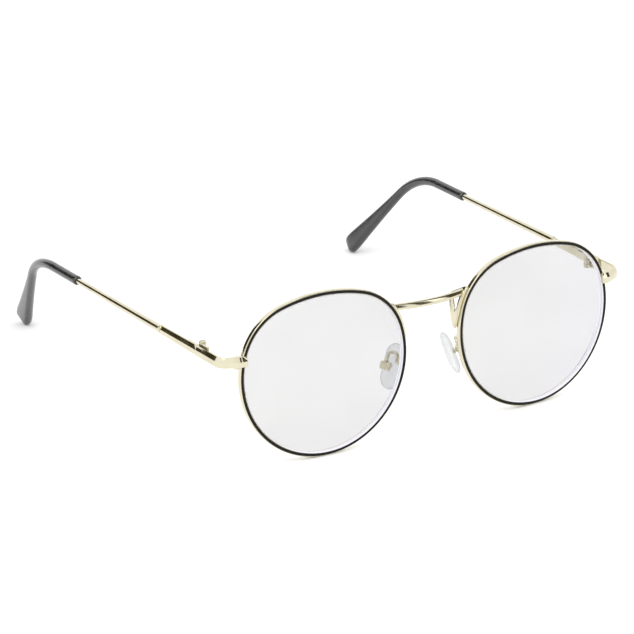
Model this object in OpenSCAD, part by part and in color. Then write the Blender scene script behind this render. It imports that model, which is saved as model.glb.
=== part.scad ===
// Round wire eyeglasses standing on their rims and temple tips, temples open.
// Millimetres. +X is the wearer's left, the front faces -Y, +Z is up.
// Origin: middle of the footprint, on the plane the glasses stand on.
// Everything is drawn for the wearer's left side and mirrored for the right.

/* [Rims and lenses] */
// Centreline radius of the lower and side part of each rim
rim_r = 26.3; // [26:0.1:26.8]
// Flattening of the rim's top: larger makes tighter shoulders and a flatter brow
flatness = 1.2; // [1.1:0.05:1.25]
// Width of the rim wire, seen from the front
rim_w = 1.25; // [1.1:0.05:1.5]
// Depth of the rim wire, front to back
rim_d = 1.7; // [1.6:0.05:2]
// Width of the enamelled band on the rim's front face
enamel_w = 0.95; // [0.6:0.05:0.95]
// Distance from the bridge centre to each rim's centre
lens_x = 35.9; // [35.5:0.1:36.4]
// Wrap of each rim towards the temple (degrees)
wrap = 3; // [2:0.5:4]
// Backward lean of the rims when the glasses stand (degrees)
lean = 3; // [2:0.5:4]
// Radius of the lens's front surface
lens_curve_r = 140; // [130:5:180]
// Lens thickness
lens_t = 1.8; // [1.6:0.1:2]

/* [Bridge] */
// Height of the bridge above the rim centre
bridge_v = 12.3; // [11.5:0.1:13]
// Height of the bridge bar
bridge_h = 2; // [1.6:0.05:2.2]
// Thickness of the bridge bar
bridge_t = 1.4; // [1.2:0.05:1.6]
// Radius of the bridge's forward bow, seen from above
bridge_bow_r = 40; // [36:1:60]
// How far the foot at each end of the bridge reaches behind the rim's middle
foot_depth = 5.6; // [4:0.2:6]
// Height above the rim centre of the lower end of each foot
foot_low = 2; // [1:0.2:4]

/* [Temples] */
// Distance from the middle plane to each temple's centreline
temple_x = 68.1; // [68:0.1:68.6]
// Distance from the rim plane back to the fold joint
joint_y = 15.3; // [15:0.1:16]
// Height of the end piece and hinge above the rim centre
end_v = 6.2; // [5.8:0.1:6.4]
// Height of the end piece
end_h = 3; // [2.8:0.1:3.2]
// Thickness of the end piece and of the temple's flat front part
strip_t = 1.3; // [1.3:0.05:1.35]
// Height of the temple at the joint
temple_h = 2.8; // [2.6:0.1:3]
// Length of the temple's flat front part
flat_len = 20.3; // [18:0.1:22]
// Distance from the joint to the mouth of the tip
tip_start = 68; // [66:0.2:72]
// Radius of the temple rod where it leaves the flat part
rod_r1 = 1.15; // [1:0.01:1.2]
// Radius of the temple rod at the mouth of the tip
rod_r2 = 0.85; // [0.75:0.01:1]
// Downward slope of the temples towards the tips (degrees)
slope = 1; // [0.5:0.25:1.5]

/* [Temple tips] */
// Radius of the tip's straight sleeve
tip_r = 1.4; // [1.3:0.05:1.5]
// Distance from the joint to the start of the ear bend
bend_start = 83; // [81:0.2:85]
// Radius of the ear bend
bend_r = 23; // [21:0.5:25]
// Angle of the ear bend (degrees)
bend_angle = 50; // [48:1:53]
// Length of the tip after the bend
hook_len = 30.6; // [28:0.05:33]
// Inward tilt of the hook (degrees)
toe_in = 17; // [14:1:20]
// Width of the paddle at the end of the tip
paddle_w = 6.4; // [5:0.1:6.8]
// Thickness of the paddle
paddle_t = 3; // [2.8:0.1:3.4]

/* [Nose pads] */
// Distance from the middle plane to each pad's pivot
pad_x = 12.8; // [12.6:0.1:13]
// Distance from the rim plane back to each pad's pivot
pad_y = 3; // [2.8:0.1:3.4]
// Height of each pad's pivot
pad_z = 20.8; // [20:0.1:21.2]
// Height of a pad
pad_h = 13.6; // [12:0.2:14]
// Width of a pad
pad_w = 6.6; // [6:0.2:7]
// Thickness of a pad
pad_t = 2.4; // [2.2:0.1:2.6]
// Turn of the pad so that its face looks backwards (degrees)
pad_splay = 15; // [12:1:18]
// Lean of the pad so that its top is nearer the nose (degrees)
pad_lean = 20; // [16:1:22]
// Radius of the pad arm's wire
arm_r = 0.5; // [0.45:0.05:0.55]

/* [Hidden] */
$fn = 96;
fine_fn = 360;                // for arcs of large radius

gold = [0.86, 0.78, 0.55];
black = [0.07, 0.07, 0.08];
clear = [0.88, 0.9, 0.94, 0.35];
pad_clear = [0.85, 0.87, 0.86, 0.6];
far = 60;                     // larger than any feature that a cut has to pass through

// Outline of the rim: a lower arc, two shoulders and a brow, each tangent to the next. Two arcs meet on
// the line through their centres, and the lines run along the sides of a 7-24-25 triangle, so that every
// centre is exact.
low_line = [0.96, 0.28];
high_line = [0.28, 0.96];
shoulder_r = rim_r - 7 * flatness;
brow_r = shoulder_r + 24 * flatness;
shoulder_at = [6.72 * flatness, 1.96 * flatness];
brow_at = [0, -21.08 * flatness];
rim_top_v = brow_r + brow_at.y;
box_centre_v = (rim_top_v - rim_r) / 2;

function mirrored(v) = [-v.x, v.y];

// Each arc: its centre, its radius and the directions that bound its slice of the plane.
OUTLINE = [
    [[0, 0], rim_r, [mirrored(low_line), [-1, -1], [1, -1], low_line]],
    [shoulder_at, shoulder_r, [low_line, [1, 1], high_line]],
    [brow_at, brow_r, [high_line, mirrored(high_line)]],
    [mirrored(shoulder_at), shoulder_r, [mirrored(high_line), [-1, 1], mirrored(low_line)]],
];

rim_chamfer = 0.12;
groove_w = 0.9;
groove_depth = 0.4;
enamel_sink = 0.12;
enamel_proud = 0.04;
fit_gap = 0.03;

lens_z = rim_r * cos(lean) + (rim_w / 2) * cos(lean) + (rim_d / 2) * sin(lean);
end_z = lens_z + end_v * cos(lean);
split_gap = 0.16;
block_h = 1.55;
block_in = 1;                         // from the rim's centreline inwards to the block's square end
block_out = 2.4;                      // from the rim's centreline out to the block's outer end
closing_x = 1.3;                      // from the rim's centreline out to the closing screw
closing_r = 0.45;
closing_head_r = 0.72;
closing_head_h = 0.4;
slot_w = 0.24;                        // width of every screw slot

bridge_round = 0.45;                  // rounding of the bar's edges
bridge_forward = 0.2;                 // from the rim plane to the middle of the bar's bow
foot_t = 0.8;
foot_front = 0.2;                     // from the rim plane to the foot's front edge
foot_tail = 1.7;                      // depth of the foot's lower end
foot_fall = 2.4;                      // drop of the foot's top edge towards the rear
foot_rear_h = 1.2;                    // height of the foot's rear edge
foot_strip = 1.3;                     // width of the foot's strips around its window

// Hinge: the axis lies inside the strip, on the joint plane.
knuckle_r = 1.1;
leaf_t = 0.6;
axis_in = knuckle_r + 0.1;            // from the axis to the strip's inner face
strip_x = axis_in + strip_t / 2;      // from the axis to the strip's centreline
hinge_x = temple_x - strip_x;
hinge_h = 4.2;
middle_h = 1.4;
knuckle_gap = 0.05;
hinge_screw_r = 0.6;
running_gap = 0.05;
joint_gap = 0.03;

// End piece, seen from above: a short bar on the rim, a swept part and the arm back to the joint.
sweep = 28;
sweep_r = 4;
corner_r = 3;
bar_y = 0.25;
bar_start_x = 60.6;
sweep_x = 62;
sweep_end = [sweep_x + sweep_r * sin(sweep), bar_y + sweep_r * (1 - cos(sweep))];
corner_x = temple_x - corner_r;
sweep_len = (corner_x + corner_r * sin(sweep) - sweep_end.x) / cos(sweep);
corner_y = sweep_end.y + sweep_len * sin(sweep) + corner_r * cos(sweep);
arc_step = 3.1;

temple_h_end = 2.3;
core_r = 0.6;
core_gap = 0.03;
mouth_chamfer = 0.35;
paddle_nose = 3;
paddle_inset = 0.08;                  // where the paddle leaves the end of the bend
paddle_fn = 24;

box_half = 1.15;
lug_half = 0.6;
pad_offset = 3.15;
pad_screw_r = 0.45;
pad_screw_head_r = 0.8;
arch_r = 1.5;                         // arch of the pad arm
arch_z = 2.9;
elbow_r = 0.8;
elbow_z = 2.5;
arm_turn = -15;

depth_centre = 66.19;                    // from the rim plane to the middle of the footprint

// ---------- frames ----------

// Rim frame: x outwards across the lens, y up the lens, z out of the front face.
module rim_frame() {
    translate([lens_x, 0, lens_z])
        rotate([-lean, 0, 0])
            rotate([0, 0, wrap])
                rotate([90, 0, 0])
                    children();
}

// Hinge frame: origin on the hinge axis at the joint, y along the temple.
module hinge_frame() {
    translate([hinge_x, joint_y, end_z])
        rotate([-slope, 0, 0])
            children();
}

// Pad frame: origin on the pad's pivot, x away from the nose, y along the pivot, z up the pad.
module pad_frame() {
    translate([pad_x, pad_y, pad_z])
        rotate([0, 0, -pad_splay])
            rotate([0, -pad_lean, 0])
                children();
}

// Hook frame: from the start of the ear bend, with the bend in the plane x = 0.
module hook_frame() {
    translate([strip_x, bend_start, 0])
        rotate([0, toe_in, 0])
            children();
}

// Whole object: moves the rim plane forward so that the footprint is centred.
module placed() {
    translate([0, -depth_centre, 0])
        children();
}

// ---------- shared shapes ----------

// The slice of the plane that one arc of the rim's outline fills.
module slice(arc) {
    polygon(concat([arc[0]], [for (direction = arc[2]) arc[0] + far * direction]));
}

// Sweeps a section all round the rim's outline; section x is outwards, section y is forwards.
module around_rim() {
    for (arc = OUTLINE)
        intersection() {
            translate([arc[0].x, arc[0].y, 0])
                rotate_extrude($fn = fine_fn)
                    translate([arc[1], 0])
                        children();
            linear_extrude(far, center = true)
                slice(arc);
        }
}

// Area inside the rim's outline, moved outwards by grow.
module outline(grow) {
    for (arc = OUTLINE)
        intersection() {
            translate(arc[0])
                circle(r = arc[1] + grow, $fn = fine_fn);
            slice(arc);
        }
}

// Bar section: a rectangle with rounded corners.
module bar_section(t, h, round_r) {
    square([t, h - 2 * round_r], center = true);
    square([t - 2 * round_r, h], center = true);
    for (x = [-1, 1], y = [-1, 1])
        translate([x * (t / 2 - round_r), y * (h / 2 - round_r)])
            circle(r = round_r);
}

// A rod of one radius from the origin along +Y.
module rod_run(len, r) {
    rotate([-90, 0, 0])
        cylinder(r = r, h = len);
}

// ---------- rim, enamel, lens ----------

module rim_section() {
    w = rim_w / 2;
    d = rim_d / 2;
    c = rim_chamfer;
    e = enamel_w / 2;
    polygon([[-w, -d + c], [-w + c, -d], [w - c, -d], [w, -d + c], [w, d - c], [w - c, d], [e, d],
             [e, d - enamel_sink], [-e, d - enamel_sink], [-e, d], [-w + c, d], [-w, d - c],
             [-w, groove_w / 2], [-w + groove_depth, 0], [-w, -groove_w / 2]]);
}

module rim() {
    color(gold)
        rim_frame()
            difference() {
                around_rim()
                    rim_section();
                translate([rim_r - 2, end_v - split_gap / 2, -rim_d])
                    cube([4, split_gap, 2 * rim_d]);
            }
}

module rim_enamel() {
    color(black)
        rim_frame()
            difference() {
                around_rim()
                    translate([-enamel_w / 2, rim_d / 2 - enamel_sink])
                        square([enamel_w, enamel_sink + enamel_proud]);
                translate([rim_r / 2, end_v - end_h / 2 - 0.1, 0])
                    cube([rim_r, end_h + 0.2, rim_d]);
            }
}

module lens() {
    edge = rim_w / 2 + fit_gap;
    bevel = groove_depth - fit_gap;
    bevel_half = groove_w / 2 - 2 * fit_gap;
    centre_z = lens_t / 2 - sqrt(pow(lens_curve_r, 2) - pow(rim_r, 2));
    color(clear)
        rim_frame() {
            intersection() {
                translate([0, 0, -far / 4])
                    linear_extrude(far / 2)
                        outline(-edge);
                translate([0, box_centre_v, centre_z])
                    difference() {
                        sphere(r = lens_curve_r);
                        sphere(r = lens_curve_r - lens_t);
                    }
            }
            around_rim()
                translate([-edge, 0])
                    polygon([
                        [-0.3, -bevel_half], [0, -bevel_half], [bevel, 0],
                        [0, bevel_half], [-0.3, bevel_half],
                    ]);
        }
}

// ---------- bridge ----------

// A bowed bar between the rims, with a foot at each end.
module bridge() {
    color(gold)
        placed() {
            difference() {
                bridge_bar();
                both_sides()
                    rim_frame()
                        linear_extrude(far, center = true)
                            outline(rim_w / 2);
            }
            both_sides()
                bridge_foot();
        }
}

module both_sides() {
    for (side = [0, 1])
        mirror([side, 0, 0])
            children();
}

module bridge_bar() {
    reach = lens_x / 3;
    half = asin(reach / bridge_bow_r);
    sag = bridge_bow_r * (1 - cos(half));
    translate([0, bridge_bow_r - sag / 2 - bridge_forward, lens_z + bridge_v * cos(lean)])
        rotate([0, 0, -90 - half])
            rotate_extrude(angle = 2 * half)
                translate([bridge_bow_r, 0])
                    bar_section(bridge_t, bridge_h, bridge_round);
}

// A curved plate with a window, on the nose side of the rim: deepest under the bar, tapering down the rim.
module bridge_foot() {
    top = bridge_v + bridge_h / 2 - 0.1;
    rim_frame()
        intersection() {
            linear_extrude(far, center = true)
                difference() {
                    outline(rim_w / 2 + foot_t);
                    outline(rim_w / 2);
                }
            rotate([0, -90, 0])
                linear_extrude(far)
                    difference() {
                        polygon([[foot_front, top], [foot_front, bridge_v / 2], [-foot_tail / 4, foot_low],
                                 [-foot_tail, foot_low], [-foot_depth, top - foot_fall - foot_rear_h],
                                 [-foot_depth, top - foot_fall], [-rim_d / 2, top]]);
                        polygon([[-foot_strip, top - foot_strip], [-foot_strip, bridge_v / 2],
                                 [foot_strip - foot_depth, top - foot_fall - foot_strip / 2]]);
                    }
        }
}

// ---------- closing blocks and their screw ----------

module closing_block(side) {
    color(gold)
        rim_frame()
            difference() {
                translate([rim_r - block_in, side > 0 ? end_v + split_gap / 2 : end_v - block_h, -rim_d / 2])
                    cube([block_in + block_out, block_h - split_gap / 2, rim_d]);
                linear_extrude(far, center = true)
                    outline(rim_w / 2);
                closing_bore();
            }
}

module closing_axis() {
    translate([rim_r + closing_x, end_v, 0])
        rotate([-90, 0, 0])
            children();
}

module closing_bore() {
    closing_axis()
        translate([0, 0, -far / 2])
            cylinder(r = closing_r + 0.02, h = far);
}

module closing_screw() {
    color(gold)
        rim_frame()
            closing_axis()
                difference() {
                    union() {
                        translate([0, 0, -block_h])
                            cylinder(r = closing_r, h = 2 * block_h);
                        translate([0, 0, -block_h - closing_head_h])
                            cylinder(r = closing_head_r, h = closing_head_h);
                    }
                    translate([-1, -slot_w / 2, -block_h - closing_head_h - 0.1])
                        cube([2, slot_w, 0.3]);
                }
}

// ---------- end piece and hinge ----------

// One edge of the end piece's plan, side * strip_t / 2 away from its centreline.
function end_edge(side) =
    let (o = side * strip_t / 2)
    concat(
        [[bar_start_x, bar_y - o]],
        [for (a = [0 : arc_step : sweep])
            [sweep_x + (sweep_r + o) * sin(a), bar_y + sweep_r - (sweep_r + o) * cos(a)]],
        [for (a = [sweep : arc_step : 90])
            [corner_x + (corner_r + o) * sin(a), corner_y - (corner_r + o) * cos(a)]],
        [[temple_x + o, joint_y]]);

function reversed(list) = [for (i = [len(list) - 1 : -1 : 0]) list[i]];

// The plan is laid out from the rim plane, so it is moved into the hinge frame.
module end_piece() {
    color(gold)
        difference() {
            hinge_frame()
                translate([-hinge_x, -joint_y, 0])
                    linear_extrude(end_h, center = true)
                        polygon(concat(end_edge(1), reversed(end_edge(-1))));
            rim_frame() {
                translate([0, 0, rim_d / 2 - far])
                    linear_extrude(far)
                        outline(rim_w / 2);
                translate([0, 0, -far / 2])
                    linear_extrude(far)
                        outline(-rim_w / 2);
                translate([rim_r - block_in, end_v - far / 2, -rim_d / 2])
                    cube([block_in + block_out, far, rim_d]);
            }
        }
}

module front_hinge() {
    leaf_back = 4.6;
    color(gold)
        hinge_frame()
            difference() {
                union() {
                    translate([axis_in - leaf_t, -leaf_back, -hinge_h / 2])
                        cube([leaf_t, leaf_back, hinge_h]);
                    translate([0, -knuckle_r, -hinge_h / 2])
                        cube([axis_in, knuckle_r, hinge_h]);
                    translate([0, 0, -hinge_h / 2])
                        cylinder(r = knuckle_r, h = hinge_h);
                }
                translate([-2, -knuckle_r - 0.15, -middle_h / 2 - knuckle_gap])
                    cube([4, 3, middle_h + 2 * knuckle_gap]);
                translate([0, 0, -hinge_h])
                    cylinder(r = hinge_screw_r + 0.01, h = 2 * hinge_h);
            }
}

module hinge_screw() {
    head_h = 0.35;
    color(gold)
        hinge_frame()
            difference() {
                union() {
                    translate([0, 0, -hinge_h / 2 - 0.1])
                        cylinder(r = hinge_screw_r, h = hinge_h + 0.1);
                    translate([0, 0, hinge_h / 2])
                        cylinder(r = knuckle_r - 0.15, h = head_h);
                }
                translate([-2, -slot_w / 2, hinge_h / 2 + 0.15])
                    cube([4, slot_w, 1]);
            }
}

module temple_hinge() {
    leaf_front = 6.4;
    leaf_h = 2.2;
    clear_y = knuckle_r + 0.3;
    color(gold)
        hinge_frame()
            difference() {
                union() {
                    translate([axis_in - leaf_t, clear_y, -leaf_h / 2])
                        cube([leaf_t, leaf_front - clear_y, leaf_h]);
                    translate([0, joint_gap, -middle_h / 2])
                        cube([axis_in, clear_y, middle_h]);
                    translate([0, 0, -middle_h / 2])
                        cylinder(r = knuckle_r, h = middle_h);
                }
                translate([-2, -3, -middle_h])
                    cube([2 + axis_in + 1, 3 - knuckle_r, 2 * middle_h]);
                translate([0, 0, -middle_h])
                    cylinder(r = hinge_screw_r + running_gap, h = 2 * middle_h);
            }
}

// ---------- temple and tip ----------

module temple_core(r) {
    translate([strip_x, tip_start, 0])
        rod_run(bend_start - tip_start, r);
    hook_frame()
        translate([0, 0, -bend_r])
            rotate([0, -90, 0])
                rotate_extrude(angle = bend_angle)
                    translate([bend_r, 0])
                        circle(r = r);
}

module temple() {
    color(gold)
        hinge_frame() {
            translate([axis_in, 0, 0])
                rotate([90, 0, 90])
                    linear_extrude(strip_t)
                        polygon([[joint_gap, -temple_h / 2], [flat_len, -temple_h_end / 2],
                                 [flat_len + 0.6, -rod_r1 * 0.6], [flat_len + 0.6, rod_r1 * 0.6],
                                 [flat_len, temple_h_end / 2], [joint_gap, temple_h / 2]]);
            translate([strip_x, flat_len, 0])
                rotate([-90, 0, 0])
                    cylinder(r1 = rod_r1, r2 = rod_r2, h = tip_start - flat_len);
            temple_core(core_r);
        }
}

module temple_tip() {
    color(black)
        hinge_frame()
            difference() {
                union() {
                    translate([strip_x, tip_start, 0])
                        rotate([-90, 0, 0])
                            cylinder(r1 = tip_r - mouth_chamfer, r2 = tip_r, h = mouth_chamfer);
                    translate([strip_x, tip_start + mouth_chamfer, 0])
                        rod_run(bend_start - tip_start - mouth_chamfer, tip_r);
                    hook_frame() {
                        translate([0, 0, -bend_r])
                            rotate([0, -90, 0])
                                rotate_extrude(angle = bend_angle)
                                    translate([bend_r, 0])
                                        circle(r = tip_r);
                        translate([0, bend_r * sin(bend_angle), bend_r * (cos(bend_angle) - 1)])
                            rotate([-bend_angle, 0, 0])
                                paddle();
                    }
                }
                temple_core(core_r + core_gap);
            }
}

// The widening end of the tip, from the end of the bend along +Y.
module paddle() {
    hull() {
        sphere(r = tip_r - paddle_inset, $fn = paddle_fn);
        translate([0, hook_len - paddle_nose, 0])
            scale([paddle_t / 2, paddle_nose, paddle_w / 2])
                sphere(r = 1, $fn = paddle_fn);
    }
}

// ---------- nose pads ----------

// A wire bend through angle in the plane x = 0: from heading +z at the origin it turns towards -y.
module wire_bend(r, angle) {
    translate([0, -r, 0])
        rotate([90, 0, 90])
            rotate_extrude(angle = angle)
                translate([r, 0])
                    circle(r = arm_r);
}

// Gooseneck wire: up from the box, over an arch, down behind the rim and forward to its rear face.
module pad_arm() {
    color(gold)
        difference() {
            pad_frame()
                rotate([0, 0, arm_turn]) {
                    translate([0, 0, box_half])
                        cylinder(r = arm_r, h = arch_z - box_half);
                    translate([0, 0, arch_z])
                        wire_bend(arch_r, 180);
                    translate([0, -2 * arch_r, elbow_z])
                        cylinder(r = arm_r, h = arch_z - elbow_z);
                    translate([0, -2 * arch_r, elbow_z])
                        mirror([0, 0, 1])
                            wire_bend(elbow_r, 90);
                    translate([0, -2 * arch_r - elbow_r, elbow_z - elbow_r])
                        rotate([90, 0, 0])
                            cylinder(r = arm_r, h = 3);
                }
            rim_frame()
                translate([-far, -far, -rim_d / 2])
                    cube([2 * far, 2 * far, far]);
        }
}

module pad_pivot_rod(r, len) {
    translate([0, -len / 2, 0])
        rod_run(len, r);
}

module pad_box() {
    wall = 0.4;
    color(gold)
        pad_frame()
            difference() {
                translate([-box_half, -box_half, -box_half])
                    cube([2 * box_half, 2 * box_half, 2 * box_half]);
                translate([-box_half - 1, -box_half + wall, -2])
                    cube([2 * box_half + 1 - wall, 2 * (box_half - wall), 4 - (2 - box_half) - wall]);
                pad_pivot_rod(pad_screw_r + 0.01, 6);
            }
}

module pad_screw() {
    color(gold)
        pad_frame()
            difference() {
                union() {
                    pad_pivot_rod(pad_screw_r, 2 * box_half + 0.1);
                    translate([0, box_half, 0])
                        rod_run(0.45, pad_screw_head_r);
                }
                translate([-2, box_half + 0.2, -slot_w / 2])
                    cube([4, 1, slot_w]);
            }
}

module pad_lug() {
    color(gold)
        pad_frame()
            difference() {
                union() {
                    pad_pivot_rod(0.62, 2 * lug_half);
                    translate([-pad_offset + pad_t / 2 - 0.5, -lug_half, -0.5])
                        cube([pad_offset - pad_t / 2 + 0.5, 2 * lug_half, 1]);
                }
                pad_pivot_rod(pad_screw_r + running_gap, 6);
            }
}

// An oval pad, thicker in the middle, with a socket for its lug.
module nose_pad() {
    ball_r = 60;
    color(pad_clear)
        pad_frame()
            difference() {
                intersection() {
                    translate([-pad_offset, 0, 0])
                        rotate([0, 90, 0])
                            linear_extrude(2 * pad_t, center = true)
                                union() {
                                    for (end = [-1, 1])
                                        translate([end * (pad_h - pad_w) / 2, 0])
                                            circle(r = pad_w / 2);
                                    square([pad_h - pad_w, pad_w], center = true);
                                }
                    translate([-pad_offset - ball_r + pad_t / 2, 0, 0])
                        sphere(r = ball_r, $fn = fine_fn);
                    translate([-pad_offset + ball_r - pad_t / 2, 0, 0])
                        sphere(r = ball_r, $fn = fine_fn);
                }
                translate([-pad_offset + pad_t / 2 - 0.5, -lug_half, -0.5])
                    cube([2, 2 * lug_half, 1]);
            }
}

// ---------- nodes ----------

module left_rim() placed() rim();
module left_rim_enamel() placed() rim_enamel();
module left_lens() placed() lens();
module left_closing_block_upper() placed() closing_block(1);
module left_closing_block_lower() placed() closing_block(-1);
module left_closing_screw() placed() closing_screw();
module left_end_piece() placed() end_piece();
module left_front_hinge() placed() front_hinge();
module left_hinge_screw() placed() hinge_screw();
module left_temple_hinge() placed() temple_hinge();
module left_temple() placed() temple();
module left_temple_tip() placed() temple_tip();
module left_pad_arm() placed() pad_arm();
module left_pad_box() placed() pad_box();
module left_pad_screw() placed() pad_screw();
module left_pad_lug() placed() pad_lug();
module left_nose_pad() placed() nose_pad();

module right_rim() mirror([1, 0, 0]) left_rim();
module right_rim_enamel() mirror([1, 0, 0]) left_rim_enamel();
module right_lens() mirror([1, 0, 0]) left_lens();
module right_closing_block_upper() mirror([1, 0, 0]) left_closing_block_upper();
module right_closing_block_lower() mirror([1, 0, 0]) left_closing_block_lower();
module right_closing_screw() mirror([1, 0, 0]) left_closing_screw();
module right_end_piece() mirror([1, 0, 0]) left_end_piece();
module right_front_hinge() mirror([1, 0, 0]) left_front_hinge();
module right_hinge_screw() mirror([1, 0, 0]) left_hinge_screw();
module right_temple_hinge() mirror([1, 0, 0]) left_temple_hinge();
module right_temple() mirror([1, 0, 0]) left_temple();
module right_temple_tip() mirror([1, 0, 0]) left_temple_tip();
module right_pad_arm() mirror([1, 0, 0]) left_pad_arm();
module right_pad_box() mirror([1, 0, 0]) left_pad_box();
module right_pad_screw() mirror([1, 0, 0]) left_pad_screw();
module right_pad_lug() mirror([1, 0, 0]) left_pad_lug();
module right_nose_pad() mirror([1, 0, 0]) left_nose_pad();

bridge();
left_rim();
left_rim_enamel();
left_lens();
left_closing_block_upper();
left_closing_block_lower();
left_closing_screw();
left_end_piece();
left_front_hinge();
left_hinge_screw();
left_temple_hinge();
left_temple();
left_temple_tip();
left_pad_arm();
left_pad_box();
left_pad_screw();
left_pad_lug();
left_nose_pad();
right_rim();
right_rim_enamel();
right_lens();
right_closing_block_upper();
right_closing_block_lower();
right_closing_screw();
right_end_piece();
right_front_hinge();
right_hinge_screw();
right_temple_hinge();
right_temple();
right_temple_tip();
right_pad_arm();
right_pad_box();
right_pad_screw();
right_pad_lug();
right_nose_pad();
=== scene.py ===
"""Round wire eyeglasses: the finished look of every piece, the light, the floor and the camera.

Lengths are in millimetres until a mesh is made. Everything is built for the wearer's left side and mirrored
for the right. The frame is the part's own: +X to the wearer's left, the front faces -Y, +Z up.
"""

import math

import bmesh
import bpy
from mathutils import Matrix, Vector


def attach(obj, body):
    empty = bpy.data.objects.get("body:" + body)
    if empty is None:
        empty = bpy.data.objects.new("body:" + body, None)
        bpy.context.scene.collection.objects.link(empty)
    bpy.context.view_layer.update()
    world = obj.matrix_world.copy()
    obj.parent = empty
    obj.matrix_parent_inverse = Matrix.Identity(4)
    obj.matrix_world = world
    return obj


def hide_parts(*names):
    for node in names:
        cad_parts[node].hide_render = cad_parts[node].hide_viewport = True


MM = 0.001

# ---------- sizes ----------
# As in the part, except where a line says otherwise. _R is a radius, _W a width, _H a height, _T a thickness,
# _X, _Y and _Z a place in the frame, and _V a height above the lens's centre, up the lens.

# Rims and lenses
RIM_R = 26.3
FLATNESS = 1.2
LOW_LINE = Vector((0.96, 0.28))
HIGH_LINE = Vector((0.28, 0.96))
SHOULDER_R = RIM_R - 7 * FLATNESS
BROW_R = SHOULDER_R + 24 * FLATNESS
SHOULDER_AT = Vector((6.72, 1.96)) * FLATNESS
BROW_AT = Vector((0, -21.08)) * FLATNESS
BOX_CENTRE_V = (BROW_R + BROW_AT.y - RIM_R) / 2
RIM_W = 1.25
RIM_D = 1.7
ENAMEL_W = 0.95
ENAMEL_SINK = 0.12
ENAMEL_PROUD = 0.04
GROOVE_W = 0.9
GROOVE_DEPTH = 0.4
SPLIT_GAP = 0.16
FIT_GAP = 0.03
LENS_X = 35.9
WRAP = math.radians(3)
LEAN = math.radians(3)
LENS_CURVE_R = 140
LENS_T = 1.8
DEPTH_CENTRE = 66.19
LENS_Z = (RIM_R + RIM_W / 2) * math.cos(LEAN) + RIM_D / 2 * math.sin(LEAN)

# Bridge: a bowed bar with a foot at each end
BRIDGE_V = 12.3
BRIDGE_H = 2
BRIDGE_T = 1.4
BRIDGE_BOW_R = 40
BRIDGE_FORWARD = 0.2
FOOT_T = 0.8
FOOT_FRONT = 0.2
FOOT_DEPTH = 5.6
FOOT_TAIL = 1.7
FOOT_LOW = 2
FOOT_FALL = 2.4
FOOT_REAR_H = 1.2
FOOT_STRIP = 1.3
BAR_POWER = 2.4              # roundness of the bar's section, which is a plain rounded strip in the part
BAR_TILT = math.radians(25)

# End pieces: a bar over the rim, a swept part and an arm back to the joint
END_V = 6.2
END_H = 3
END_Z = LENS_Z + END_V * math.cos(LEAN)
STRIP_T = 1.3
KNUCKLE_R = 1.1
KNUCKLE_GAP = 0.1
STRIP_X = KNUCKLE_R + KNUCKLE_GAP + STRIP_T / 2
TEMPLE_X = 68.1
HINGE_X = TEMPLE_X - STRIP_X
JOINT_Y = 15.3
SLOPE = math.radians(1)
SWEEP = math.radians(28)
SWEEP_R = 4
SWEEP_X = 62
CORNER_R = 3
BAR_Y = 0.25
BAR_START_X = 60.85

# Temples and their tips
JOINT_GAP = 0.03
TEMPLE_H = 2.8
TEMPLE_H_END = 2.3
FLAT_LEN = 20.3
ROD_R1 = 1.15
ROD_R2 = 0.85
TIP_START = 68
TIP_R = 1.395                # a hair under the part's, to stay in its box
MOUTH_CHAMFER = 0.35
BEND_START = 83
BEND_R = 23
BEND = math.radians(50)
HOOK_LEN = 30.2              # under the part's, because the paddle's end is blunter
TOE_IN = math.radians(17)
PADDLE_W = 6.2               # likewise
PADDLE_T = 3
PADDLE_NOSE = 2.8            # likewise
PADDLE_FULL = 0.85           # share of the hook's length where the paddle is at full width
PADDLE_EASE = 1.4

# Nose pads
PAD_PIVOT = (12.8, 3.0, 20.8)
PAD_H = 13.6
PAD_W = 6.6
PAD_T = 2.4
PAD_SPLAY = math.radians(15)
PAD_LEAN = math.radians(20)
PAD_OFFSET = 3.15

# Meshes
ARC_STEP = math.radians(1.5)
CORNER_STEPS = 6
SMOOTH_ANGLE = math.radians(35)
CUT_EASE = 0.08              # how far the cut ends of the strips are softened
SAME_POINT = 1e-7            # in metres, like the next two
WELD_DISTANCE = 1e-6
EDGE_EASE = 0.00006

# Looks
CARDS_IN_FRONT = ((2, 0.17), (23, 0.21), (55, 0.38))    # azimuth in degrees, width in metres
LENS_CAST = (0.845, 0.845, 0.845)                       # light passed by each face of a lens
NOISE_LOW, NOISE_HIGH = 0.3, 0.7                        # most values of a noise texture lie between these


# ---------- frames ----------


def turn(angle, axis):
    return Matrix.Rotation(angle, 4, axis)


def move(x, y, z):
    return Matrix.Translation((x, y, z))


PLACED = move(0, -DEPTH_CENTRE, 0)
RIM_FRAME = PLACED @ move(LENS_X, 0, LENS_Z) @ turn(-LEAN, "X") @ turn(WRAP, "Z") @ turn(math.pi / 2, "X")
HINGE_FRAME = PLACED @ move(HINGE_X, JOINT_Y, END_Z) @ turn(-SLOPE, "X")
HOOK_FRAME = HINGE_FRAME @ move(STRIP_X, BEND_START, 0) @ turn(TOE_IN, "Y")
PAD_FRAME = PLACED @ move(*PAD_PIVOT) @ turn(-PAD_SPLAY, "Z") @ turn(-PAD_LEAN, "Y")
MIRROR = Matrix.Diagonal((-1, 1, 1, 1))


# ---------- outlines ----------


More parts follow.
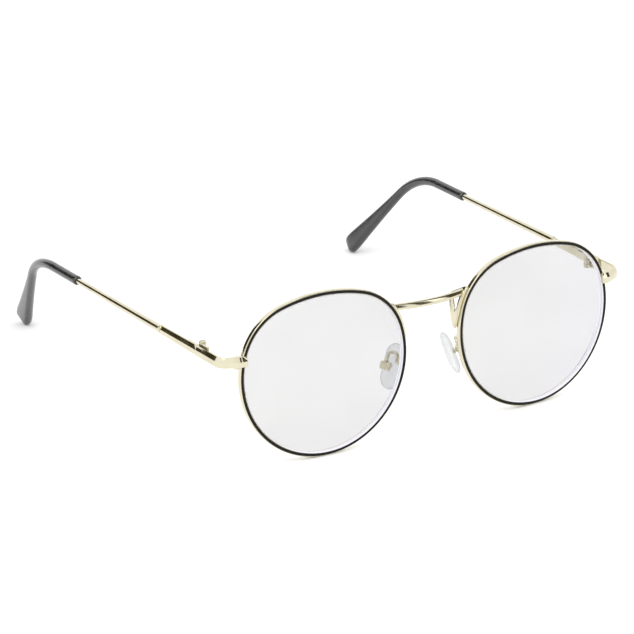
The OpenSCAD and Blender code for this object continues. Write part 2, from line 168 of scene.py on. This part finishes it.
def filleted(corners, steps=CORNER_STEPS):
    """A polygon with each corner (x, y, radius) rounded."""
    points = []
    for i, (x, y, radius) in enumerate(corners):
        here = Vector((x, y))
        if radius == 0:
            points.append(here)
            continue
        back = (Vector(corners[i - 1][:2]) - here).normalized()
        ahead = (Vector(corners[(i + 1) % len(corners)][:2]) - here).normalized()
        half = back.angle(ahead) / 2
        centre = here + (back + ahead).normalized() * radius / math.sin(half)
        first = here + back * radius / math.tan(half) - centre
        last = here + ahead * radius / math.tan(half) - centre
        span = first.angle_signed(last)
        for s in range(steps + 1):
            a = -span * s / steps
            points.append(centre + Matrix.Rotation(a, 2) @ first)
    return points


def rounded_box(width, height, radius, steps=CORNER_STEPS):
    """A rectangle with rounded corners, centred; a circle when radius is half of both sides."""
    w, h = width / 2, height / 2
    r = min(radius, w, h) * 0.9999
    return filleted([(-w, -h, r), (w, -h, r), (w, h, r), (-w, h, r)], steps)


def oval(width, height, power, steps=24):
    """A rectangle's sides bowed towards an ellipse: power 2 is the ellipse, larger is squarer."""
    points = []
    for i in range(steps):
        a = 2 * math.pi * (i + 0.5) / steps
        across = math.copysign(abs(math.cos(a)) ** (2 / power), math.cos(a))
        up = math.copysign(abs(math.sin(a)) ** (2 / power), math.sin(a))
        points.append(Vector((width / 2 * across, height / 2 * up)))
    return points


def strip_section(width, height):
    """The flat strip of the end piece and temple: its outer face leans inwards above the middle."""
    w, h = width / 2, height / 2
    return filleted([(-w, -h, 0.15), (w, -h, 0.3), (w, 0.15 * h, 0.3), (0, h, 0.1), (-w, h, 0.15)], 4)


def disc(radius, steps=CORNER_STEPS):
    return rounded_box(2 * radius, 2 * radius, radius, steps)


def arc_points(centre, radius, start, end):
    """(point, outward direction) along one arc, both ends included."""
    count = max(2, math.ceil(abs(end - start) / ARC_STEP))
    found = []
    for i in range(count + 1):
        a = start + (end - start) * i / count
        outward = Vector((math.cos(a), math.sin(a)))
        found.append((centre + radius * outward, outward))
    return found


def rim_path(gap):
    """The centreline from above the end piece, over the brow and round to below it, with a gap there."""
    low = math.atan2(LOW_LINE.y, LOW_LINE.x)
    high = math.atan2(HIGH_LINE.y, HIGH_LINE.x)
    gap_top = math.asin((END_V + gap / 2) / RIM_R)
    gap_bottom = math.asin((END_V - gap / 2) / RIM_R)
    far_shoulder = Vector((-SHOULDER_AT.x, SHOULDER_AT.y))
    arcs = [
        (SHOULDER_AT, SHOULDER_R, low, high),
        (BROW_AT, BROW_R, high, math.pi - high),
        (far_shoulder, SHOULDER_R, math.pi - high, math.pi - low),
        (Vector((0, 0)), RIM_R, math.pi - low, 2 * math.pi + gap_bottom),
    ]
    if gap_top < low:
        arcs.insert(0, (Vector((0, 0)), RIM_R, gap_top, low))
    else:
        start = math.asin((END_V + gap / 2 - SHOULDER_AT.y) / SHOULDER_R)
        arcs[0] = (SHOULDER_AT, SHOULDER_R, start, high)
    path = []
    for a in arcs:
        points = arc_points(*a)
        path += points[1:] if path else points
    return path


# ---------- meshes ----------


def skin(rings, closed=False):
    """Vertices and faces over rings of equal length; open skins are capped."""
    n = len(rings[0])
    verts = [p for ring in rings for p in ring]
    count = len(rings)
    faces = []
    for i in range(count if closed else count - 1):
        j = (i + 1) % count
        for k in range(n):
            m = (k + 1) % n
            faces.append((i * n + k, i * n + m, j * n + m, j * n + k))
    if not closed:
        faces.append(tuple(range(n)))
        faces.append(tuple((count - 1) * n + k for k in range(n)))
    return verts, faces


def joined(*shapes):
    """Several skins as one mesh."""
    verts, faces = [], []
    for more_verts, more_faces in shapes:
        faces += [tuple(i + len(verts) for i in face) for face in more_faces]
        verts += more_verts
    return verts, faces


def sweep_rim(section, gap):
    """A section (x outwards, y forwards) along the rim's centreline, in the rim frame."""
    rings = []
    for point, outward in rim_path(gap):
        rings.append([(point.x + s.x * outward.x, point.y + s.x * outward.y, s.y) for s in section])
    return skin(rings)


def along_plan(path, sections):
    """Sections (x across, y up) carried along a path of (point, direction) seen from above."""
    rings = []
    for (point, direction), section in zip(path, sections):
        across = Vector((direction.y, -direction.x))
        rings.append([(point.x + s.x * across.x, point.y + s.x * across.y, s.y) for s in section])
    return skin(rings)


def linked(name, mesh):
    """A mesh as an object in the scene."""
    thing = bpy.data.objects.new(name, mesh)
    bpy.context.scene.collection.objects.link(thing)
    return thing


def flat_sheet(name, width, height, material):
    """A rectangle centred on its own origin; sizes are in metres."""
    w, h = width / 2, height / 2
    mesh = bpy.data.meshes.new(name)
    mesh.from_pydata([(-w, -h, 0), (w, -h, 0), (w, h, 0), (-w, h, 0)], [], [(0, 1, 2, 3)])
    mesh.materials.append(material)
    return linked(name, mesh)


def built(name, shape, matrix, material):
    """A mesh object from vertices and faces in a frame given in millimetres."""
    verts, faces = shape
    mesh = bpy.data.meshes.new(name)
    mesh.from_pydata([(matrix @ Vector(v)) * MM for v in verts], [], faces)
    shell = bmesh.new()
    shell.from_mesh(mesh)
    bmesh.ops.remove_doubles(shell, verts=shell.verts, dist=SAME_POINT)
    bmesh.ops.recalc_face_normals(shell, faces=shell.faces)
    shell.to_mesh(mesh)
    shell.free()
    for polygon in mesh.polygons:
        polygon.use_smooth = True
    mesh.set_sharp_from_angle(angle=SMOOTH_ANGLE)
    mesh.materials.append(material)
    return linked(name, mesh)


def pair(node, shape, matrix, material, bodies=("front", "front")):
    """The left piece and its mirrored twin, each standing for its CAD node."""
    pieces = []
    for side, body, frame_matrix in (("left", bodies[0], matrix), ("right", bodies[1], MIRROR @ matrix)):
        name = f"{side}_{node}"
        piece = built(f"{name}_visual", shape, frame_matrix, material)
        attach(piece, body)
        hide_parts(name)
        pieces.append(piece)
    return pieces


# ---------- materials ----------


def new_material(name):
    """A node material with its tree and its Principled shader."""
    material = bpy.data.materials.new(name)
    material.use_nodes = True
    tree = material.node_tree
    shader = next(n for n in tree.nodes if n.type == "BSDF_PRINCIPLED")
    return material, tree, shader


def noise(tree, scale, detail=4.0):
    """A noise texture in the piece's own coordinates; scale is per metre."""
    coords = tree.nodes.new("ShaderNodeTexCoord")
    texture = tree.nodes.new("ShaderNodeTexNoise")
    texture.inputs["Scale"].default_value = scale
    texture.inputs["Detail"].default_value = detail
    tree.links.new(coords.outputs["Object"], texture.inputs["Vector"])
    return texture


def vary(tree, texture, socket, low, high):
    """Drives a number on a shader from a texture, between two values."""
    spread = tree.nodes.new("ShaderNodeMapRange")
    spread.inputs["From Min"].default_value = NOISE_LOW
    spread.inputs["From Max"].default_value = NOISE_HIGH
    spread.inputs["To Min"].default_value = low
    spread.inputs["To Max"].default_value = high
    tree.links.new(texture.outputs["Fac"], spread.inputs["Value"])
    tree.links.new(spread.outputs["Result"], socket)


def tint(tree, texture, socket, first, second):
    """Drives a colour on a shader from a texture, between two colours."""
    ramp = tree.nodes.new("ShaderNodeValToRGB")
    ramp.color_ramp.elements[0].position = 0.35
    ramp.color_ramp.elements[1].position = 0.65
    ramp.color_ramp.elements[0].color = (*first, 1)
    ramp.color_ramp.elements[1].color = (*second, 1)
    tree.links.new(texture.outputs["Fac"], ramp.inputs["Fac"])
    tree.links.new(ramp.outputs["Color"], socket)


def roughen(tree, texture, shader, strength, depth):
    """Fine relief from a texture; depth is in metres."""
    bump = tree.nodes.new("ShaderNodeBump")
    bump.inputs["Strength"].default_value = strength
    bump.inputs["Distance"].default_value = depth
    tree.links.new(texture.outputs["Fac"], bump.inputs["Height"])
    tree.links.new(bump.outputs["Normal"], shader.inputs["Normal"])


def gold_plate():
    """Pale gold plating, polished, with slight unevenness of colour and gloss."""
    material, tree, shader = new_material("pale_gold")
    shader.inputs["Metallic"].default_value = 1.0
    broad = noise(tree, 180.0)
    tint(tree, broad, shader.inputs["Base Color"], (0.65, 0.605, 0.45), (0.73, 0.685, 0.525))
    vary(tree, broad, shader.inputs["Roughness"], 0.08, 0.17)
    roughen(tree, noise(tree, 3000.0, 6.0), shader, 0.05, 0.00002)
    return material


def black_enamel():
    """Black enamel, satin, with a faint orange-peel surface."""
    material, tree, shader = new_material("black_enamel")
    shader.inputs["Specular IOR Level"].default_value = 0.2
    grain = noise(tree, 900.0)
    tint(tree, grain, shader.inputs["Base Color"], (0.002, 0.002, 0.002), (0.005, 0.005, 0.005))
    vary(tree, grain, shader.inputs["Roughness"], 0.25, 0.4)
    roughen(tree, grain, shader, 0.1, 0.00003)
    return material


def black_sleeve():
    """Glossy black moulded plastic, slightly waxy."""
    material, tree, shader = new_material("black_sleeve")
    shader.inputs["Coat Weight"].default_value = 0.7
    shader.inputs["Coat Roughness"].default_value = 0.12
    grain = noise(tree, 500.0)
    tint(tree, grain, shader.inputs["Base Color"], (0.008, 0.008, 0.009), (0.018, 0.018, 0.02))
    vary(tree, grain, shader.inputs["Roughness"], 0.2, 0.3)
    roughen(tree, noise(tree, 1200.0, 3.0), shader, 0.04, 0.00003)
    return material


def coated_lens():
    """Clear lens with a slight grey cast, whose coating shows blue-violet at a steep slant."""
    material = bpy.data.materials.new("coated_lens")
    material.use_nodes = True
    tree = material.node_tree
    tree.nodes.clear()
    output = tree.nodes.new("ShaderNodeOutputMaterial")
    through = tree.nodes.new("ShaderNodeBsdfTransparent")
    mirror = tree.nodes.new("ShaderNodeBsdfGlossy")
    slant = tree.nodes.new("ShaderNodeLayerWeight")
    amount = tree.nodes.new("ShaderNodeMapRange")
    mix = tree.nodes.new("ShaderNodeMixShader")
    slant.inputs["Blend"].default_value = 0.3
    amount.inputs["From Min"].default_value = 0.1
    amount.inputs["To Min"].default_value = 0.0
    amount.inputs["To Max"].default_value = 0.35
    mirror.inputs["Color"].default_value = (0.80, 0.78, 1.0, 1)
    smear = noise(tree, 60.0)
    tint(tree, smear, through.inputs["Color"], LENS_CAST, [c + 0.012 for c in LENS_CAST])
    vary(tree, smear, mirror.inputs["Roughness"], 0.02, 0.06)
    tree.links.new(slant.outputs["Facing"], amount.inputs["Value"])
    tree.links.new(amount.outputs["Result"], mix.inputs["Fac"])
    tree.links.new(through.outputs["BSDF"], mix.inputs[1])
    tree.links.new(mirror.outputs["BSDF"], mix.inputs[2])
    tree.links.new(mix.outputs["Shader"], output.inputs["Surface"])
    return material


def clear_pad():
    """Soft clear plastic with a cool grey cast, a little cloudy, and denser towards its edges."""
    material, tree, shader = new_material("clear_pad")
    output = next(n for n in tree.nodes if n.type == "OUTPUT_MATERIAL")
    through = tree.nodes.new("ShaderNodeBsdfTransparent")
    mix = tree.nodes.new("ShaderNodeMixShader")
    cloud = noise(tree, 350.0)
    tint(tree, cloud, shader.inputs["Base Color"], (0.42, 0.45, 0.45), (0.52, 0.54, 0.54))
    tint(tree, cloud, through.inputs["Color"], (0.94, 0.945, 0.945), (0.955, 0.96, 0.96))
    vary(tree, cloud, shader.inputs["Roughness"], 0.15, 0.3)
    edge = tree.nodes.new("ShaderNodeLayerWeight")
    edge.inputs["Blend"].default_value = 0.3
    amount = tree.nodes.new("ShaderNodeMapRange")
    amount.inputs["To Min"].default_value = 0.08
    amount.inputs["To Max"].default_value = 0.75
    tree.links.new(edge.outputs["Facing"], amount.inputs["Value"])
    tree.links.new(amount.outputs["Result"], mix.inputs["Fac"])
    roughen(tree, noise(tree, 1800.0), shader, 0.06, 0.00003)
    tree.links.new(through.outputs["BSDF"], mix.inputs[1])
    tree.links.new(shader.outputs["BSDF"], mix.inputs[2])
    tree.links.new(mix.outputs["Shader"], output.inputs["Surface"])
    return material


def ground_edge():
    """The lens's edge as it is ground: matt white with a breath of lavender."""
    material, tree, shader = new_material("ground_edge")
    grain = noise(tree, 1500.0)
    tint(tree, grain, shader.inputs["Base Color"], (0.86, 0.85, 0.93), (0.93, 0.92, 0.98))
    vary(tree, grain, shader.inputs["Roughness"], 0.45, 0.6)
    roughen(tree, grain, shader, 0.1, 0.00002)
    return material


# ---------- pieces ----------


def rim_shape():
    """The rim's wire: a channel for the enamel on its front and a groove for the lens inside."""
    w, d, e = RIM_W / 2, RIM_D / 2, ENAMEL_W / 2
    section = filleted([
        (-w, -d, 0.15), (w, -d, 0.35), (w, d, 0.24), (e, d, 0), (e, d - ENAMEL_SINK, 0),
        (-e, d - ENAMEL_SINK, 0), (-e, d, 0), (-w, d, 0.1), (-w, GROOVE_W / 2, 0),
        (-w + GROOVE_DEPTH, 0, 0), (-w, -GROOVE_W / 2, 0),
    ])
    return sweep_rim(section, SPLIT_GAP)


def enamel_shape():
    """The crowned band in the rim's channel, which stops short of the end piece on both sides."""
    e = ENAMEL_W / 2
    base, top = RIM_D / 2 - ENAMEL_SINK, RIM_D / 2 + ENAMEL_PROUD
    section = filleted([
        (-e, base, 0), (e, base, 0), (e, top - 0.06, 0.05), (0.3, top, 0.4), (-0.3, top, 0.4),
        (-e, top - 0.06, 0.05),
    ])
    return sweep_rim(section, END_H + 0.2)


def lens_shape():
    """Both curved faces, and the edge with its bevel that sits in the rim's groove."""
    edge = RIM_W / 2 + FIT_GAP
    bevel = GROOVE_DEPTH - FIT_GAP
    bevel_half = GROOVE_W / 2 - 2 * FIT_GAP
    centre_z = LENS_T / 2 - math.sqrt(LENS_CURVE_R ** 2 - RIM_R ** 2)
    middle = Vector((0, BOX_CENTRE_V))
    path = rim_path(0)[:-1]
    rim_line = [(p - n * edge, n) for p, n in path]

    def face_ring(share, radius):
        ring = []
        for p, _ in rim_line:
            q = middle + (p - middle) * share
            rise = math.sqrt(radius ** 2 - (q - middle).length_squared)
            ring.append((q.x, q.y, centre_z + rise))
        return ring

    def edge_ring(out, z):
        return [(p.x + n.x * out, p.y + n.y * out, z) for p, n in rim_line]

    shares = [0.02, 0.1, 0.2, 0.35, 0.5, 0.65, 0.8, 0.9, 0.97, 1]
    rings = [face_ring(s, LENS_CURVE_R) for s in shares]
    rings += [edge_ring(0, bevel_half), edge_ring(bevel, 0), edge_ring(0, -bevel_half)]
    rings += [face_ring(s, LENS_CURVE_R - LENS_T) for s in reversed(shares)]
    return skin(rings)


def bridge_bar_shape():
    """The bar, bowed forward in the middle; its ends run a little way into the rims."""
    bow_reach = LENS_X / 3
    half = math.asin((bow_reach - 0.1) / BRIDGE_BOW_R)
    sag = BRIDGE_BOW_R * (1 - math.cos(math.asin(bow_reach / BRIDGE_BOW_R)))
    centre_y = BRIDGE_BOW_R - sag / 2 - BRIDGE_FORWARD
    section = [Matrix.Rotation(BAR_TILT, 2) @ point for point in oval(BRIDGE_T, BRIDGE_H, BAR_POWER, 32)]
    path = []
    steps = 40
    for i in range(steps + 1):
        a = -half + 2 * half * i / steps
        point = Vector((BRIDGE_BOW_R * math.sin(a), centre_y - BRIDGE_BOW_R * math.cos(a)))
        path.append((point, Vector((math.cos(a), math.sin(a)))))
    return along_plan(path, [section] * len(path))


def nose_side(v):
    """The rim's centreline on the nose side at a height: (point, outward direction)."""
    low = v < LOW_LINE.y * RIM_R
    centre = Vector((0, 0)) if low else Vector((-SHOULDER_AT.x, SHOULDER_AT.y))
    radius = RIM_R if low else SHOULDER_R
    outward = Vector((-math.sqrt(radius ** 2 - (v - centre.y) ** 2), v - centre.y)) / radius
    return centre + radius * outward, outward


def ray_hit(polygon, centre, angle):
    """Where a ray from a point inside a polygon crosses its outline."""
    way = Vector((math.cos(angle), math.sin(angle)))
    for i, here in enumerate(polygon):
        side = here - polygon[i - 1]
        cross = way.x * side.y - way.y * side.x
        if abs(cross) < 1e-9:
            continue
        start = polygon[i - 1] - centre
        reach = (start.x * side.y - start.y * side.x) / cross
        share = (start.x * way.y - start.y * way.x) / cross
        if reach > 0 and -1e-6 <= share <= 1 + 1e-6:
            return centre + reach * way
    return centre


def bridge_foot_shape():
    """The curved plate under each end of the bar, on the nose side of the rim, with its window."""
    top = BRIDGE_V + BRIDGE_H / 2 - 0.1
    rear_top = top - FOOT_FALL
    outer = filleted([
        (FOOT_FRONT, top, 0.3), (-RIM_D / 2, top, 0.8), (-FOOT_DEPTH, rear_top, 0.5),
        (-FOOT_DEPTH, rear_top - FOOT_REAR_H, 0.6), (-FOOT_TAIL, FOOT_LOW, 0.5),
        (-FOOT_TAIL / 4, FOOT_LOW, 0.4), (FOOT_FRONT, BRIDGE_V / 2, 1),
    ])
    window = filleted([
        (-FOOT_STRIP, top - FOOT_STRIP, 0.5), (FOOT_STRIP - FOOT_DEPTH, rear_top - FOOT_STRIP / 2, 0.4),
        (-FOOT_STRIP, BRIDGE_V / 2, 0.5),
    ])
    middle = Vector((-FOOT_STRIP - 0.8, rear_top - FOOT_STRIP))
    inner = RIM_W / 2 - 0.02
    rings = []
    steps = 72
    for i in range(steps):
        angle = 2 * math.pi * i / steps
        far, near = ray_hit(outer, middle, angle), ray_hit(window, middle, angle)
        ring = []
        for s in rounded_box(1, FOOT_T, 0.2, 3):
            flat = near.lerp(far, s.x + 0.5)
            point, outward = nose_side(flat.y)
            place = point + (inner + FOOT_T / 2 + s.y) * outward
            ring.append((place.x, place.y, flat.x))
        rings.append(ring)
    return skin(rings, closed=True)


def end_piece_path():
    """The end piece's centreline from above: over the rim, along the sweep and back to the joint."""
    corner_x = TEMPLE_X - CORNER_R
    sweep_end = Vector((SWEEP_X + SWEEP_R * math.sin(SWEEP), BAR_Y + SWEEP_R * (1 - math.cos(SWEEP))))
    run = (corner_x + CORNER_R * math.sin(SWEEP) - sweep_end.x) / math.cos(SWEEP)
    corner_y = sweep_end.y + run * math.sin(SWEEP) + CORNER_R * math.cos(SWEEP)
    path = [(Vector((BAR_START_X, BAR_Y)), Vector((1, 0))), (Vector((SWEEP_X, BAR_Y)), Vector((1, 0)))]
    sweep_steps = 8
    corner_steps = 16
    for i in range(1, sweep_steps + 1):
        a = SWEEP * i / sweep_steps
        point = Vector((SWEEP_X + SWEEP_R * math.sin(a), BAR_Y + SWEEP_R * (1 - math.cos(a))))
        path.append((point, Vector((math.cos(a), math.sin(a)))))
    for i in range(corner_steps + 1):
        a = SWEEP + (math.pi / 2 - SWEEP) * i / corner_steps
        point = Vector((corner_x + CORNER_R * math.sin(a), corner_y - CORNER_R * math.cos(a)))
        path.append((point, Vector((math.cos(a), math.sin(a)))))
    path.append((Vector((TEMPLE_X, JOINT_Y)), Vector((0, 1))))
    return path


def eased_ends(path, width, height):
    """The path with its ends drawn in to soften the cuts, and a section for each of its points."""
    inset = strip_section(width - 2 * CUT_EASE, height - 2 * CUT_EASE)
    full = strip_section(width, height)
    (first, first_way), (last, last_way) = path[0], path[-1]
    rings = [(first, first_way), (first + first_way * CUT_EASE, first_way)] + path[1:-1]
    rings += [(last - last_way * CUT_EASE, last_way), (last, last_way)]
    return rings, [inset] + [full] * (len(rings) - 2) + [inset]


def end_piece_shape():
    """The bent strip, in the hinge frame."""
    path, sections = eased_ends(end_piece_path(), STRIP_T, END_H)
    verts, faces = along_plan(path, sections)
    to_hinge = move(-HINGE_X, -JOINT_Y, 0)
    return [to_hinge @ Vector(v) for v in verts], faces


def temple_shape():
    """A flat tapering front part, a step, and a round rod that tapers and runs into the mouth of the tip."""
    flat_start = JOINT_GAP + CUT_EASE
    flat_steps = 12
    rod_steps = 30
    rod_end = TIP_START + 1

    flat = [(JOINT_GAP, strip_section(STRIP_T - 2 * CUT_EASE, TEMPLE_H - 2 * CUT_EASE))]
    for i in range(flat_steps + 1):
        share = i / flat_steps
        height = TEMPLE_H + (TEMPLE_H_END - TEMPLE_H) * share
        flat.append((flat_start + (FLAT_LEN - flat_start) * share, strip_section(STRIP_T, height)))
    flat.append((FLAT_LEN + 0.3, strip_section(STRIP_T - 0.1, TEMPLE_H_END - 0.3)))

    rod = [(FLAT_LEN - 0.2, oval(1.2 * ROD_R1, 1.2 * ROD_R1, 2))]
    for i in range(rod_steps + 1):
        share = i / rod_steps
        radius = ROD_R1 + (ROD_R2 - ROD_R1) * share
        rod.append((FLAT_LEN + (rod_end - FLAT_LEN) * share, oval(2 * radius, 2 * radius, 2)))

    def carried(rings):
        return skin([[(STRIP_X + s.x, y, s.y) for s in section] for y, section in rings])

    return joined(carried(flat), carried(rod))


def tip_shape():
    """A sleeve with a chamfered mouth, the ear bend, and a paddle that widens to a rounded end."""
    steps = 8
    rings = []

    def straight(y, radius):
        rings.append([(STRIP_X + s.x, y, s.y) for s in disc(radius, steps)])

    # Out of the mouth's hollow, over its lip and chamfer, and along the sleeve
    straight(TIP_START + 1.2, ROD_R2 + 0.06)
    straight(TIP_START + 0.05, ROD_R2 + 0.1)
    straight(TIP_START, ROD_R2 + 0.18)
    straight(TIP_START, TIP_R - MOUTH_CHAMFER)
    straight(TIP_START + MOUTH_CHAMFER * 0.9, TIP_R - 0.04)
    straight(TIP_START + MOUTH_CHAMFER + 0.1, TIP_R)
    sleeve_start = TIP_START + 0.6
    sleeve_steps = 12
    for i in range(1, sleeve_steps):
        straight(sleeve_start + (BEND_START - sleeve_start) * i / sleeve_steps, TIP_R)

    to_hinge = HINGE_FRAME.inverted() @ HOOK_FRAME
    bend_steps = 40
    hook_steps = 44
    for i in range(bend_steps + hook_steps + 1):
        a = min(i / bend_steps, 1) * BEND
        run = max(i - bend_steps, 0) / hook_steps
        widening = min(1, run / PADDLE_FULL) ** PADDLE_EASE
        nose = max(0, (run * HOOK_LEN - (HOOK_LEN - PADDLE_NOSE)) / PADDLE_NOSE)
        closing = math.sqrt(max(0.04, 1 - nose ** 3))
        width = (2 * TIP_R + (PADDLE_W - 2 * TIP_R) * widening) * closing
        thickness = (2 * TIP_R + (PADDLE_T - 2 * TIP_R) * widening) * closing
        section = rounded_box(thickness, width, min(width, thickness) * 0.49, steps)
        centre = Vector((0, BEND_R * math.sin(a), BEND_R * (math.cos(a) - 1)))
        centre += run * HOOK_LEN * Vector((0, math.cos(a), -math.sin(a)))
        up = Vector((0, math.sin(a), math.cos(a)))
        rings.append([tuple(to_hinge @ (Vector((s.x, 0, 0)) + centre + s.y * up)) for s in section])
    return skin(rings)


def nose_pad_shape():
    """An oval pad with domed faces and a soft edge."""
    outline = []
    around = 64
    for i in range(around):
        a = 2 * math.pi * i / around
        end = 1 if math.sin(a) >= 0 else -1
        outline.append(Vector((PAD_W / 2 * math.cos(a), PAD_W / 2 * math.sin(a) + end * (PAD_H - PAD_W) / 2)))
    rings = []
    layers = 18
    for i in range(layers + 1):
        a = -math.pi / 2 + math.pi * i / layers
        share = max(0.02, math.cos(a)) ** 0.42
        x = -PAD_OFFSET + PAD_T / 2 * math.sin(a)
        rings.append([(x, p.x * share, p.y * share) for p in outline])
    return skin(rings)


# ---------- assembly ----------


def finish_cad_nodes(nodes, gold):
    """Small fittings keep their CAD shape: the gold, with softened edges."""
    for name, node in nodes.items():
        if node.hide_render:
            continue
        node.data.materials.clear()
        node.data.materials.append(gold)
        weld = node.modifiers.new("weld", "WELD")
        weld.merge_threshold = WELD_DISTANCE
        soften = node.modifiers.new("soften", "BEVEL")
        soften.width = EDGE_EASE
        soften.segments = 2
        soften.limit_method = "ANGLE"
        soften.angle_limit = math.radians(40)


def finish_lenses(lenses):
    """Clear lenses cast no shadow, and the faces round their edge are ground."""
    edge = ground_edge()
    lens_axis = RIM_FRAME.to_3x3() @ Vector((0, 0, 1))
    for lens in lenses:
        lens.visible_shadow = False
        lens.visible_diffuse = False
        lens.data.materials.append(edge)
        for face in lens.data.polygons:
            facing = abs(face.normal @ lens_axis)
            face.material_index = 1 if facing < 0.9 else 0


def build_glasses(frame):
    """Every visible piece, each on its body and in place of its node."""
    gold = gold_plate()
    enamel = black_enamel()
    sleeve = black_sleeve()
    arms = ("left_arm", "right_arm")
    pair("rim", rim_shape(), RIM_FRAME, gold)
    pair("rim_enamel", enamel_shape(), RIM_FRAME, enamel)
    finish_lenses(pair("lens", lens_shape(), RIM_FRAME, coated_lens()))
    pair("end_piece", end_piece_shape(), HINGE_FRAME, gold)
    pair("temple", temple_shape(), HINGE_FRAME, gold, arms)
    pair("temple_tip", tip_shape(), HINGE_FRAME, sleeve, arms)
    pair("nose_pad", nose_pad_shape(), PAD_FRAME, clear_pad(), ("left_pad", "right_pad"))

    bar_frame = PLACED @ move(0, 0, LENS_Z + BRIDGE_V * math.cos(LEAN))
    bar = built("bridge_bar_visual", bridge_bar_shape(), bar_frame, gold)
    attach(bar, "front")
    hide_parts("bridge")
    for side, matrix in (("left", RIM_FRAME), ("right", MIRROR @ RIM_FRAME)):
        foot = built(f"bridge_foot_{side}_visual", bridge_foot_shape(), matrix, gold)
        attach(foot, "front")
    finish_cad_nodes(frame["nodes"], gold)


def white_floor():
    """A plain matt white surface, 6 m square."""
    material, tree, shader = new_material("white_floor")
    grain = noise(tree, 8.0)
    tint(tree, grain, shader.inputs["Base Color"], (0.90, 0.90, 0.90), (0.92, 0.92, 0.92))
    vary(tree, grain, shader.inputs["Roughness"], 0.7, 0.8)
    shader.inputs["Specular IOR Level"].default_value = 0.1
    floor = flat_sheet("floor", 6.0, 6.0, material)


def aim(thing, target):
    """Turns a light, card or camera to face a point."""
    thing.rotation_euler = (Vector(target) - thing.location).to_track_quat("-Z", "Y").to_euler()


def area_light(name, location, target, size, power):
    data = bpy.data.lights.new(name, "AREA")
    data.size = size
    data.energy = power
    light = bpy.data.objects.new(name, data)
    light.location = location
    bpy.context.scene.collection.objects.link(light)
    aim(light, target)


def dark_card(name, location, target, width, height):
    """A dark card that shows only in reflections, to give the polished metal its dark lines."""
    material, tree, shader = new_material(name)
    shader.inputs["Base Color"].default_value = (0.04, 0.032, 0.015, 1)
    shader.inputs["Roughness"].default_value = 0.9
    shader.inputs["Specular IOR Level"].default_value = 0.0
    card = flat_sheet(name, width, height, material)
    card.location = location
    aim(card, target)
    card.visible_camera = False
    card.visible_diffuse = False
    card.visible_shadow = False
    card.visible_transmission = False


def build_studio():
    """The floor, an even white surround, two soft lights and the cards that the gold reflects."""
    white_floor()
    world = bpy.data.worlds.new("studio")
    bpy.context.scene.world = world
    world.use_nodes = True
    sky = world.node_tree.nodes["Background"]
    sky.inputs["Color"].default_value = (1, 1, 1, 1)
    sky.inputs["Strength"].default_value = 1.18
    middle = (0, 0, 0.025)
    area_light("key", (-0.9, -0.5, 1.4), middle, 0.9, 5)
    area_light("fill", (0.9, -0.9, 1.0), middle, 1.2, 3)
    dark_card("card_behind", (-0.63, 1.09, 0.5), middle, 0.6, 1.0)
    for number, (azimuth, width) in enumerate(CARDS_IN_FRONT):
        a = math.radians(azimuth)
        dark_card(f"card_{number}", (0.8 * math.sin(a), -0.8 * math.cos(a), 0.55), middle, width, 1.2)


def build_camera():
    """Seen from the wearer's right, slightly above, with a long lens."""
    azimuth = math.radians(-32.2)
    elevation = math.radians(21.4)
    distance = 1.3
    target = Vector((-0.0256, -0.04666, 0.0329))
    back = turn(azimuth, "Z") @ turn(-elevation, "X") @ Vector((0, -1, 0))
    data = bpy.data.cameras.new("camera")
    data.lens = 257.6
    data.sensor_width = 36
    data.clip_start = 0.01
    camera = bpy.data.objects.new("camera", data)
    camera.location = target + back * distance
    bpy.context.scene.collection.objects.link(camera)
    aim(camera, target)
    bpy.context.scene.camera = camera
    bpy.context.scene.view_settings.view_transform = "Standard"


def corners(bounds):
    """A box's two corners as plain lists."""
    return [list(point) for point in bounds]


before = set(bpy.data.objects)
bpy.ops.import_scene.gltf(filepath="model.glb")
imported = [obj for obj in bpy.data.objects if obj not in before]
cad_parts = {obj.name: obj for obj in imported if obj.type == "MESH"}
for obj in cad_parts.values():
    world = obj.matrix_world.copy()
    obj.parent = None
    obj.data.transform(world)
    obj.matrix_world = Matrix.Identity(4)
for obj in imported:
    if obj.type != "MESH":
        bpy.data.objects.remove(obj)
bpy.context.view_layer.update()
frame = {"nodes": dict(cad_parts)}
build_glasses(frame)
build_studio()
build_camera()
